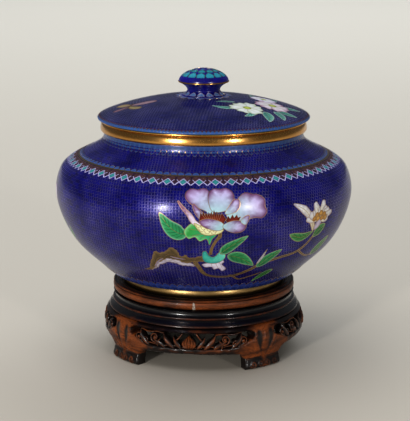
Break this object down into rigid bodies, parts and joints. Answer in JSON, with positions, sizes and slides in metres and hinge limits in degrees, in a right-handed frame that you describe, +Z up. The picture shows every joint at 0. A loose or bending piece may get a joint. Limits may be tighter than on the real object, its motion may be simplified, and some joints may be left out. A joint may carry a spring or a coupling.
{
  "type": "lidded cloisonne jar on a stand",
  "caption": "Round cobalt cloisonne enamel covered box with domed lid, gilt collar and knob, on a pierced and carved hardwood stand.",
  "frame": {"origin": "centre of the circle the four feet stand on, on the standing surface", "axes": "+Z up along the axis of the bowl, -Y out through the middle of the front pierced panel of the stand, +X to the right of it"},
  "size_m": [0.25, 0.25, 0.2393],
  "materials": {
    "bowl_enamel": "polished cobalt enamel with gilt wire cells",
    "lid_enamel": "polished cobalt enamel with gilt wire cells",
    "knob_enamel": "polished teal and cobalt enamel",
    "gilt_brass": "worn gilt, satin to bright",
    "worn_hardwood": "lacquered, rubbed to orange brown on the high parts",
    "dark_hardwood": "dark lacquer, satin"
  },
  "bodies": {
    "root": {"bowl_body": "bowl_enamel", "mouth_collar": "gilt_brass", "foot_ring": "gilt_brass", "lid_rim": "gilt_brass", "lid_dome": "lid_enamel", "lid_knob": "knob_enamel", "stand_rim": "worn_hardwood", "stand_table": "dark_hardwood", "stand_apron": "worn_hardwood"}
  },
  "joints": []
}
